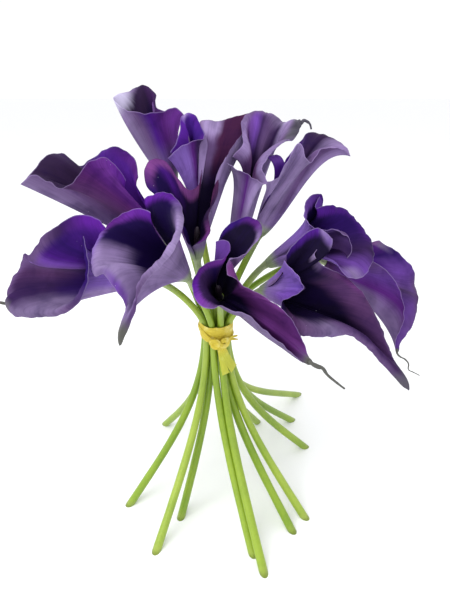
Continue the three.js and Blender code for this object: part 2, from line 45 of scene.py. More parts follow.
# Each flower: where its tube leaves the stem, its heading, lift and turn, the stem's place in the tie
# and on the ground, and the rim from one margin over the tail to the other, read off the photo:
# [turn about the axis, distance out from it, distance along it, lean of the lip]. A farWrap is the reach of
# that other margin round the stem, where it ends short of rootWrap. A tip is a dry strand in steps from the
# tail's end, as wide there as its radius says.
flowers = {
    "left_front": {
        "base": [-20, -22, 198], "heading": -132, "lift": 48, "turn": 12, "tail": 9,
        "ring": 6, "foot": [28, -89], "reach": 0.6,
        "rim": [[-177, 17, 53, 60], [-147, 21, 56, 70], [-114, 27, 56, 90], [-95, 33, 55, 120],
                [-68, 38, 53, 145], [-43, 40, 51, 150], [-32, 34, 51, 140], [-16, 36, 46, 130],
                [-4, 43, 37, 130], [0, 65, 32, 150], [4, 43, 35, 150], [12, 35, 42, 160], [30, 28, 46, 170],
                [69, 27, 49, 170], [104, 28, 51, 170], [146, 30, 55, 140], [175, 29, 56, 110],
                [203, 28, 54, 80]],
    },
    "left_low": {
        "base": [-49, -2, 188], "heading": -163, "lift": 14, "turn": -19, "tail": 10, "windsBack": True,
        "ring": 5, "foot": [-45, -86], "reach": 0.9,
        "rim": [[-186, 40, 38, 60], [-176, 43, 43, 75], [-163, 40, 57, 90], [-149, 28, 70, 95],
                [-127, 19, 79, 95], [-94, 11, 84, 95], [-84, 14, 88, 95], [-35, 17, 91, 95],
                [-13, 26, 95, 100], [-5, 33, 97, 100], [0, 37, 94, 110], [3, 41, 96, 120], [13, 42, 89, 140],
                [25, 37, 76, 160], [45, 32, 61, 170], [69, 25, 50, 160], [104, 19, 46, 140],
                [157, 21, 47, 130], [184, 30, 52, 100]],
        "tip": [[-4, -2, 1], [-8, -4, 3], [-11, -7, 4]], "tipRadius": 1.6,
    },
    "left_high": {
        "base": [-36, 8, 210], "heading": -171, "lift": 47, "turn": 8, "tail": 8, "windsBack": True,
        "ring": 4, "foot": [-73, -44], "reach": 0.7,
        "rim": [[-172, 22, 49, 80], [-155, 33, 60, 110], [-136, 35, 74, 110], [-109, 29, 79, 80],
                [-86, 27, 82, 60], [-82, 23, 96, 60], [-50, 18, 102, 50], [-17, 25, 101, 40],
                [-1, 35, 101, 20], [21, 25, 99, 25], [45, 27, 90, 40], [58, 31, 82, 60], [76, 29, 79, 70],
                [104, 30, 80, 70], [122, 31, 76, 70], [134, 26, 67, 70], [150, 18, 55, 70]],
    },
    "upper_left": {
        "base": [-32, 22, 253], "heading": 156, "lift": 74, "turn": 36, "tail": 6,
        "ring": 3, "foot": [-55, 55], "reach": 0.5,
        "rim": [[-171, 18, 45, 60], [-143, 16, 50, 70], [-123, 10, 54, 80], [-116, 18, 65, 110],
                [-93, 15, 70, 110], [-35, 14, 69, 80], [0, 22, 66, 10], [29, 19, 56, 20], [57, 18, 52, 40],
                [85, 20, 49, 60], [111, 19, 48, 60], [141, 20, 49, 70], [172, 22, 42, 70]],
    },
    "upper_mid": {
        "base": [-14, 15, 242], "heading": -143, "lift": 84, "turn": -133, "tail": 7, "windsBack": True,
        "core": 1, "foot": [41, 58], "reach": 0.6,
        "rim": [[-225, 18, 35, 50], [-209, 15, 40, 50], [-185, 13, 43, 50], [-153, 12, 45, 50],
                [-109, 11, 45, 60], [-48, 11, 50, 80], [-22, 14, 56, 100], [0, 15, 59, 110],
                [26, 11, 58, 100], [66, 6, 52, 80], [111, 9, 44, 60], [123, 15, 38, 50]],
    },
    "centre": {
        "base": [-13, -8, 208], "heading": -78, "lift": 79, "turn": 134, "tail": 7,
        "core": 2, "foot": [-29, -57], "reach": 0.6,
        "rim": [[-139, 18, 21, 60], [-121, 17, 24, 70], [-64, 8, 35, 60], [-4, 22, 51, 50], [-1, 36, 68, 50],
                [2, 61, 78, 60], [3, 70, 82, 60], [0, 78, 83, 60], [6, 73, 84, 60], [19, 55, 81, 60],
                [35, 47, 81, 60], [26, 36, 69, 50], [29, 27, 58, 40], [34, 16, 48, 30], [59, 14, 45, 20],
                [71, 20, 49, 30], [75, 31, 58, 50], [83, 37, 62, 70], [97, 39, 60, 90], [111, 35, 49, 90],
                [121, 21, 39, 80], [169, 14, 29, 70], [200, 18, 21, 60]],
        "tip": [[3, 0, 1], [6, -1, 0], [9, -1, -1]], "tipRadius": 1.1,
    },
    "centre_front": {
        "base": [3, -20, 182], "heading": -92, "lift": 42, "turn": 51, "tail": 13, "farWrap": 150,
        "ring": 7, "foot": [35, -103], "reach": 0.6,
        "rim": [[-227, 29, 34, 90], [-242, 30, 35, 100], [-251, 23, 37, 100], [-241, 16, 36, 100],
                [-191, 15, 35, 120], [-133, 16, 38, 130], [-73, 21, 41, 80], [-40, 19, 41, 0],
                [-14, 29, 42, -25], [-9, 40, 40, -30], [-6, 53, 34, -20], [-4, 65, 29, 20], [-3, 75, 23, 60],
                [0, 79, 21, 110], [2, 73, 23, 100], [6, 65, 28, 90], [13, 48, 39, 90], [18, 32, 40, 60],
                [27, 17, 39, 20], [58, 7, 41, -80], [101, 12, 39, -90], [87, 24, 36, 20], [91, 47, 31, 130],
                [107, 53, 28, 120], [125, 38, 30, 90], [128, 27, 30, 70], [115, 18, 29, 50]],
        "tip": [[4, 1, -3], [8, 3, -6], [12, 4, -12], [18, 3, -17], [24, 3, -22]], "tipRadius": 1.7,
    },
    "upper_back": {
        "base": [16, 13, 210], "heading": -17, "lift": 80, "turn": 54, "tail": 8, "windsBack": True,
        "ring": 2, "foot": [90, 104], "reach": 0.5,
        "rim": [[-194, 19, 60, 60], [-138, 16, 57, 70], [-108, 27, 55, 80], [-101, 13, 63, 80],
                [-51, 11, 71, 80], [-26, 20, 79, 80], [-20, 26, 80, 90], [-7, 34, 86, 100], [1, 39, 90, 120],
                [5, 36, 90, 110], [8, 31, 89, 100], [16, 26, 90, 100], [31, 25, 92, 110], [59, 28, 92, 110],
                [78, 26, 86, 100], [106, 11, 73, 80], [151, 15, 64, 70]],
        "tip": [[2, 0, 2], [5, 0, 1], [7, 1, -1], [8, 1, -4]], "tipRadius": 1.5,
    },
    "upper_right": {
        "base": [33, 10, 220], "heading": -8, "lift": 64, "turn": -1, "tail": 7, "windsBack": True,
        "core": 0, "foot": [60, -69], "reach": 0.6,
        "rim": [[-145, 17, 37, 60], [-119, 18, 43, 60], [-114, 21, 53, 60], [-110, 20, 70, 60],
                [-76, 21, 63, 60], [-64, 17, 73, 70], [-24, 19, 78, 80], [0, 28, 77, 80], [17, 23, 80, 90],
                [55, 16, 80, 90], [94, 18, 77, 80], [108, 19, 67, 70], [127, 16, 48, 60], [150, 16, 55, 80],
                [180, 22, 50, 90]],
    },
    "right_high": {
        "base": [39, 3, 199], "heading": -7, "lift": 33, "turn": 92, "tail": 6, "windsBack": True,
        "ring": 0, "foot": [85, 22], "reach": 0.7,
        "rim": [[-157, 37, 46, 95], [-147, 42, 49, 95], [-133, 42, 55, 95], [-108, 36, 64, 95],
                [-81, 31, 71, 95], [-47, 23, 71, 95], [-2, 20, 67, 95], [48, 17, 58, 95], [86, 19, 50, 95],
                [52, 27, 57, 95], [96, 27, 46, 95], [126, 25, 42, 95], [147, 22, 44, 95], [166, 15, 54, 95],
                [203, 14, 59, 95], [220, 23, 59, 95], [223, 27, 53, 95]],
    },
    "right_front": {
        "base": [34, -14, 184], "heading": -39, "lift": 17, "turn": 26, "tail": 10, "windsBack": True,
        "ring": 8, "foot": [72, -57], "reach": 0.7,
        "rim": [[-176, 28, 34, 60], [-168, 19, 40, 70], [-141, 12, 43, 90], [-123, 16, 39, 90],
                [-114, 25, 33, 90], [-80, 32, 38, 140], [-54, 31, 47, 160], [-21, 33, 59, 160],
                [-8, 46, 64, 150], [-4, 66, 69, 130], [0, 105, 78, 110], [2, 81, 75, 100], [7, 59, 73, 100],
                [27, 33, 68, 90], [71, 20, 57, 80], [114, 17, 48, 60], [138, 23, 45, 40], [122, 32, 47, 60],
                [126, 34, 54, 100], [129, 42, 44, 110], [149, 35, 37, 100], [171, 29, 33, 80]],
    },
    "right_far": {
        "base": [85, 12, 197], "heading": -8, "lift": -18, "turn": -25, "tail": 7,
        "ring": 1, "foot": [77, 61], "reach": 0.8,
        "rim": [[-198, 16, 30, 50], [-171, 12, 36, 50], [-118, 12, 47, 60], [-73, 16, 56, 70],
                [-37, 21, 65, 80], [-8, 33, 70, 80], [-3, 42, 71, 70], [0, 48, 76, 60], [4, 40, 77, 70],
                [13, 30, 81, 80], [27, 20, 83, 90], [98, 12, 79, 90], [144, 22, 71, 80], [150, 27, 63, 100],
                [155, 31, 52, 90], [159, 31, 43, 110], [162, 32, 36, 90], [167, 26, 28, 80]],
        "tip": [[2, -2, -2], [5, -4, -3], [7, -7, -5], [7, -9, -9], [10, -11, -10], [14, -14, -11]],
        "tipRadius": 0.8,
    },
}


# Weights of a curve between two ends with a set direction at each: 2t3 - 3t2 + 1, t3 - 2t2 + t, 3t2 - 2t3
# and t3 - t2.
def curveWeights(t):
    return 2 * t**3 - 3 * t**2 + 1, t**3 - 2 * t**2 + t, 3 * t**2 - 2 * t**3, t**3 - t**2


# A smooth curve through evenly spaced values, each stretch such a curve with the slopes of its neighbours.
def smoothValues(values, place):
    values = np.asarray(values, float)
    i = np.clip(np.floor(place).astype(int), 0, len(values) - 2)
    slope = np.gradient(values)
    a, b, c, d = curveWeights(place - i)
    return a * values[i] + b * slope[i] + c * values[i + 1] + d * slope[i + 1]


def unit(vectors):
    return vectors / np.maximum(np.linalg.norm(vectors, axis=-1, keepdims=True), 1e-9)


# 0 below low, 1 above high, with a smooth rise between them.
def rise(value, low, high):
    t = np.clip((value - low) / (high - low), 0, 1)
    return t * t * (3 - 2 * t)


# A slow random wave: the sum of sines with random phases, about 1 high.
def wave(along, length, seed):
    rng = np.random.default_rng(seed)
    total = np.zeros_like(along)
    for share in (0.45, 0.7, 1.0, 1.6):
        phase = rng.uniform(0, 6.3)
        total = total + np.sin(2 * np.pi * along * share / length + phase) * rng.uniform(0.3, 0.6)
    return total


# The flower's axis from its heading and lift, and two directions across it; the tail hangs to the first.
def axesOf(flower):
    heading, lift, turn = np.radians([flower["heading"], flower["lift"], flower["turn"]])
    axis = np.array([np.cos(heading) * np.cos(lift), np.sin(heading) * np.cos(lift), np.sin(lift)])
    down = unit(axis * axis[2] - np.array([0, 0, 1]))
    tail = down * np.cos(turn) + np.cross(axis, down) * np.sin(turn)
    return axis, tail, np.cross(axis, tail)


# Length from the first point along a path, or down each column of a grid of points.
def lengthAlong(points):
    steps = np.linalg.norm(np.diff(points, axis=0), axis=-1)
    return np.concatenate([0 * steps[:1], np.cumsum(steps, axis=0)])


# Quads between neighbours of a grid; with a 1 for them, its rows or its columns close on themselves.
def gridFaces(rows, columns, closeRows=0, closeColumns=0):
    point = np.arange(rows * columns).reshape(rows, columns)
    point = np.pad(point, [(0, closeRows), (0, closeColumns)], mode="wrap")
    quads = [point[:-1, :-1], point[:-1, 1:], point[1:, 1:], point[1:, :-1]]
    return np.stack(quads, axis=-1).reshape(-1, 4)


def ringTurns(sides):  # the angles of a ring's points, as one row
    return np.linspace(0, 2 * np.pi, sides, endpoint=False)[None, :]


# Rings round a path: a point stands off by wide times its angle's cosine along the first direction across
# the path, and by deep times the sine along the second.
def ringsRound(path, first, second, turn, wide, deep):
    sideways = (wide * np.cos(turn))[..., None] * first[..., None, :]
    return path[:, None] + sideways + (deep * np.sin(turn))[..., None] * second[..., None, :]


# A closed tube from such rings: the middle of each end comes after their points, with a fan of faces round
# it, and the first one is raised by hollow.
def closedTube(rings, hollow=0):
    rows, columns = rings.shape[:2]
    low = np.arange(columns)
    high = low + (rows - 1) * columns
    middle = 0 * low + rows * columns
    faces = [gridFaces(rows, columns, closeColumns=1)]
    faces.append(np.stack([np.roll(low, -1), low, middle], axis=-1))
    faces.append(np.stack([high, np.roll(high, -1), middle + 1], axis=-1))
    ends = [rings[0].mean(0) + [0, 0, hollow], rings[-1].mean(0)]
    return np.concatenate([rings.reshape(-1, 3), ends]), faces


def addObject(name, data, place=(0, 0, 0), turn=(0, 0, 0)):
    added = bpy.data.objects.new(name, data)
    added.location, added.rotation_euler = place, turn
    scene.collection.objects.link(added)
    return added


# A mesh object from points in millimetres, blocks of faces, and values at the points, of which the "leaf"
# pairs become the UV map.
def addPiece(name, points, faces, values, finish, slotName, nodes):
    mesh = bpy.data.meshes.new(name)
    places = (points - bunchMiddle) * millimetre
    mesh.from_pydata(places, [], [list(face) for block in faces for face in block])
    mesh.update()
    corner = np.zeros(len(mesh.loops), int)
    mesh.loops.foreach_get("vertex_index", corner)
    for key, value in values.items():
        if key == "leaf":
            layer = mesh.uv_layers.new(name="leaf")
            layer.data.foreach_set("uv", value[corner].ravel())
        else:
            layer = mesh.attributes.new(key, "FLOAT", "POINT")
            layer.data.foreach_set("value", value.ravel())
    mesh.polygons.foreach_set("use_smooth", np.ones(len(mesh.polygons), bool))
    mesh.materials.append(finish)
    piece = addObject(name, mesh)
    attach(piece, "root")
    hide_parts(*nodes)


# A value in a material. Sums, differences and products add their Math nodes, and make() adds any other node.
class Value:
    def __init__(self, tree, socket=None):
        self.tree = tree
        self.socket = socket

    def make(self, kind, settings=(), inputs=(), output=0):
        made = self.tree.nodes.new(kind)
        for key, setting in dict(settings).items():
            if key == "stops":
                elements = made.color_ramp.elements
                elements[0].position, elements[0].color = setting[0]
                elements[1].position, elements[1].color = setting[-1]
                for place, colour in setting[1:-1]:
                    elements.new(place).color = colour
            else:
                setattr(made, key, setting)
        self.feed(made, dict(inputs))
        return Value(self.tree, made.outputs[output])

    def feed(self, node, inputs):
        for key, value in inputs.items():
            if isinstance(value, Value):
                self.tree.links.new(value.socket, node.inputs[key])
            else:
                node.inputs[key].default_value = value

    def math(self, operation, first, second):
        return self.make("ShaderNodeMath", {"operation": operation}, {0: first, 1: second})

    def __add__(self, other):
        return self.math("ADD", self, other)

    def __radd__(self, other):
        return self.math("ADD", other, self)

    def __sub__(self, other):
        return self.math("SUBTRACT", self, other)

    def __rsub__(self, other):
        return self.math("SUBTRACT", other, self)

    def __mul__(self, other):
        return self.math("MULTIPLY", self, other)

    def __rmul__(self, other):
        return self.math("MULTIPLY", other, self)

    def rise(self, low, high):  # 0 at low and 1 at high, smooth between
        smooth = {"interpolation_type": "SMOOTHSTEP"}
        return self.make("ShaderNodeMapRange", smooth, {0: self, 1: low, 2: high})

    def mix(self, first, second):  # the first colour where this value is 0, the second where it is 1
        return self.make("ShaderNodeMix", {"data_type": "RGBA"}, {0: self, 6: first, 7: second}, 2)

    def scaled(self, gain):  # this colour times a value
        return self.make("ShaderNodeVectorMath", {"operation": "SCALE"}, {0: self, "Scale": gain})

    def part(self, index):  # one of the three numbers of this place
        return self.make("ShaderNodeSeparateXYZ", {}, {0: self}, index)

    def noise(self, scale, detail=2, **others):  # a noise pattern that follows this place
        inputs = {"Vector": self, "Scale": scale, "Detail": detail, **others}
        return self.make("ShaderNodeTexNoise", {}, inputs)

    def bumps(self, strength, height):  # this value as a relief, its height in metres
        return self.make("ShaderNodeBump", {}, {"Strength": strength, "Distance": height, "Height": self})


# A colour as the photo shows it, 0 to 255, as the light-linear numbers that a material takes, times a gain.
def tint(red, green, blue, gain=1):
    shown = np.array([red, green, blue]) / 255
    linear = np.where(shown < 0.04045, shown / 12.92, ((shown + 0.055) / 1.055) ** 2.4)
    return (*[min(float(value) * gain, 1.0) for value in linear], 1.0)


# An empty material, the base for the values in it, and its shader.
def newFinish(name):
    material = bpy.data.materials.new(name)
    material.use_nodes = True
    tree = material.node_tree
    return material, Value(tree), tree.nodes["Principled BSDF"]


def mark(base, name):  # a value that the mesh carries at its points
    return base.make("ShaderNodeAttribute", {"attribute_name": name}, {}, "Fac")


def objectPlace(base):
    return base.make("ShaderNodeTexCoord", {}, {}, "Object")


def leafParts(base):  # the two numbers of the mesh's "leaf" map
    leaf = base.make("ShaderNodeUVMap", {"uv_map": "leaf"})
    return leaf.part(0), leaf.part(1)


# Spathe: the one leaf that is rolled into each flower.
spatheShape = {
    "rootRadius": 3.4,
    "rootCone": 21,  # half angle of the tube where it leaves the stem
    "rootWrap": 205,  # each margin reaches this far round the stem
    "leastStep": 5,
    "leastOut": 2,  # the rim comes no nearer to the axis
    "spiral": 0.55,  # how far a margin stands out or in there
    "lipPull": 0.9,
    "thickness": 0.7,
    "rimThickness": 0.35,
    "thinsOver": 14,  # the stretch below the rim in which it thins
    "columnsPerPoint": 8,
    "rows": 60,
    "rowPower": 0.85,  # under 1, the rows stand closer toward the rim
    "ripple": 0.5,  # how high the waves near the rim are, how long, and how far down they reach
    "rippleLength": 11,
    "rippleReach": 16,
    "tailLine": 0.6,  # where the tail's line lies across the UV map
    "tipStart": 0.96,  # a dry tip starts inside the leaf, at this share of the way to the rim
    "tipTaper": 0.65,
    "tipRidge": 0.12,
    "tipWaver": 0.1,
    "tipWaverLength": 1.5,  # in steps between its points
    "tipSides": 14,
    "tipSteps": 14,  # from one of its points to the next
}


# Where each rim point's line of the leaf starts round the stem: in step with the rim's own turn.
def rootTurns(flower):
    turns = np.array(flower["rim"], float)[:, 0]
    sums = np.concatenate([[0], np.cumsum(np.maximum(np.diff(turns), spatheShape["leastStep"]))])
    middle = sums[flower["tail"]]
    near = spatheShape["rootWrap"] / middle
    far = flower.get("farWrap", spatheShape["rootWrap"]) / (sums[-1] - middle)
    return np.where(sums < middle, near, far) * (sums - middle)


# The leaf's middle surface at a place along the rim and a share of the way from root to rim. Round the axis
# its angle eases from the root's to the rim's; its radius and rise are curves from the root's cone to the
# lip's lean; a spiral keeps one margin outside the other.
def spatheSurface(flower, place, share):
    shape = spatheShape
    turn, out, height, lip = [smoothValues(column, place) for column in np.array(flower["rim"], float).T]
    out = np.maximum(out, shape["leastOut"])
    root = smoothValues(rootTurns(flower), place)
    angle = np.radians(root + (turn - root) * share**2 * (3 - 2 * share))
    chord = np.hypot(out - shape["rootRadius"], height)
    cone, lean = np.radians(shape["rootCone"]), np.radians(lip)
    a, b, c, d = curveWeights(share)
    sign = -1 if flower.get("windsBack") else 1
    spiral = sign * shape["spiral"] * (1 + 6 * share * (1 - share)) * angle / np.pi
    radius = a * shape["rootRadius"] + b * chord * np.sin(cone) + c * out
    radius = radius + d * shape["lipPull"] * chord * np.sin(lean) + spiral
    along = b * chord * np.cos(cone) + c * height + d * shape["lipPull"] * chord * np.cos(lean)
    axis, tail, side = axesOf(flower)
    across = np.cos(angle)[..., None] * tail + np.sin(angle)[..., None] * side
    return np.array(flower["base"], float) + along[..., None] * axis + radius[..., None] * across


# Dry tip: the leaf's tail, drawn out into a thin bent strand with a few dry ridges along it.
def tipTube(flower, seed):
    shape = spatheShape
    start, end = spatheSurface(flower, np.array(float(flower["tail"])), np.array([shape["tipStart"], 1]))
    places = np.concatenate([[start, end], end + np.array(flower["tip"], float)])
    last = len(places) - 1
    t = np.linspace(0, last, last * shape["tipSteps"] + 1)
    path = np.stack([smoothValues(column, t) for column in places.T], axis=-1)
    ahead = unit(np.gradient(path, axis=0))
    first = unit(np.cross(ahead, axesOf(flower)[0]))
    turn = ringTurns(shape["tipSides"])
    ridges = shape["tipRidge"] * np.sin(3 * turn + t[:, None])
    waver = shape["tipWaver"] * wave(t, shape["tipWaverLength"], seed)[:, None]
    radius = flower["tipRadius"] * (1 - shape["tipTaper"] * t / last)[:, None] * (1 + ridges + waver)
    return closedTube(ringsRound(path, first, np.cross(ahead, first), turn, radius, radius))


# The whole leaf: the middle surface waved near its rim, and moved out and in by half a thickness that
# thins toward the rim; a ridge of points closes the rim.
def spatheMesh(flower, seed):
    shape = spatheShape
    last = len(flower["rim"]) - 1
    place = np.linspace(0, last, last * shape["columnsPerPoint"] + 1)[None, :]
    share = (np.linspace(0, 1, shape["rows"]) ** shape["rowPower"])[:, None]
    surface = spatheSurface(flower, place, share)
    length = lengthAlong(surface)
    rimGap = length[-1:] - length
    normal = unit(np.cross(np.gradient(surface, axis=1), np.gradient(surface, axis=0)))
    waves = shape["ripple"] * wave(lengthAlong(surface[-1]), shape["rippleLength"], seed)
    ripple = waves * rise(rimGap, shape["rippleReach"], 0)
    surface = surface + ripple[..., None] * normal
    normal = unit(np.cross(np.gradient(surface, axis=1), np.gradient(surface, axis=0)))
    inward = rise(rimGap, 0, shape["thinsOver"])
    thick = shape["rimThickness"] + (shape["thickness"] - shape["rimThickness"]) * inward
    outer = surface + normal * thick[..., None] / 2
    inner = surface - normal * thick[..., None] / 2
    ridge = surface[-1:] + unit(surface[-1:] - surface[-2:-1]) * thick[-1:, :, None] / 2
    points = np.concatenate([outer, ridge, inner[::-1]])
    rows, columns = points.shape[:2]
    faces = [gridFaces(rows, columns, closeRows=1)]
    outside = np.arange(shape["rows"] - 1)
    inside = rows - 1 - outside
    for column, order in ((0, 1), (columns - 1, -1)):  # a strip of faces closes each margin
        strip = np.stack([outside, outside + 1, inside - 1, inside], axis=-1) * columns + column
        top = (shape["rows"] + np.array([[-1, 0, 1]])) * columns + column
        faces += [strip[:, ::order], top[:, ::order]]

    def doubled(values):  # the same values on the outer and the inner side, and on the ridge
        values = values + 0 * surface[..., 0]
        return np.concatenate([values, values[-1:], values[::-1]])

    tip = surface[-1, flower["tail"] * shape["columnsPerPoint"]]
    across = smoothValues(rootTurns(flower), place) / 360 + shape["tailLine"]
    values = {
        "leaf": np.stack([doubled(across), doubled(share)], axis=-1),
        "inside": np.concatenate([0 * length, 0 * length[-1:] + 0.5, 0 * length + 1]),
        "rimGap": doubled(rimGap),
        "rootGap": doubled(length),
        "tipGap": doubled(np.linalg.norm(surface - tip, axis=-1)),
    }
    points = points.reshape(-1, 3)
    values = {key: value.reshape(len(points), -1) for key, value in values.items()}
    if "tip" in flower:
        added, addedFaces = tipTube(flower, seed)
        faces += [block + len(points) for block in addedFaces]
        points = np.concatenate([points, added])
        alike = {"leaf": [shape["tailLine"], 1], "rimGap": [9]}  # all along the tip; it has no light edge
        for key, value in values.items():
            values[key] = np.concatenate([value, np.tile(alike.get(key, [0]), (len(added), 1))])
    return points, faces, values


# The leaves' colours, each as the photo shows it.
palette = {
    "ink": (20, 13, 37), "night": (26, 13, 60), "indigo": (44, 20, 92), "violet": (70, 28, 122),
    "bright": (92, 34, 146), "orchid": (114, 56, 150), "grape": (88, 38, 120), "berry": (88, 42, 104),
    "magenta": (116, 62, 128), "maroon": (68, 32, 66), "wine": (90, 48, 88), "plum": (80, 50, 92),
    "dusk": (52, 32, 74), "ash": (46, 30, 60), "grey": (88, 84, 96), "mauve": (96, 72, 116),
    "haze": (117, 100, 138), "lilac": (134, 113, 160), "bloom": (152, 132, 178), "pale": (190, 182, 212),
    "amethyst": (102, 64, 150), "lavender": (123, 92, 172), "green": (150, 165, 130), "dry": (96, 96, 92),
}

# What every leaf shares, unless its own look says otherwise.
spatheLook = {
    "throat": "ink",
    "throatEnds": 0.5,  # as a share of the way up the leaf
    "rimStarts": 0.78,
    "insideGain": 0.9,  # how much lighter a leaf is than it looks in the shade of its neighbours
    "outsideGain": 1,
    "footPales": 0.6,  # how far the outside pales towards the stem
    "palesOver": (34, 10),  # from this far above the leaf's root down to this far
    "foot": "green",
    "greensOver": (12, 3),
    "edge": "bloom",
    "edgeLight": 0.4,
    "edgeOver": (0.8, 0.1),  # the edge's line, from this far below the rim up to this far
    "tip": "dry",
    "tipLength": 9,
    "bandSpan": 450,  # degrees that a band of colours covers, with the tail in its middle
    "veinsAcross": 95,  # how fine the veins are, across the leaf and along it
    "veinsUp": 2.2,
    "darkVeins": 0.22,
    "lightVeins": 0.15,
    "clouds": 42,  # patterns: how many of their waves lie in a metre, and how strong they are
    "darkClouds": 0.4,
    "lightClouds": 0.25,
    "patches": 60,
    "grain": 900,
    "specks": 260,
    "speckGroups": 45,
    "dust": 0.5,
    "shine": 0.02,
}
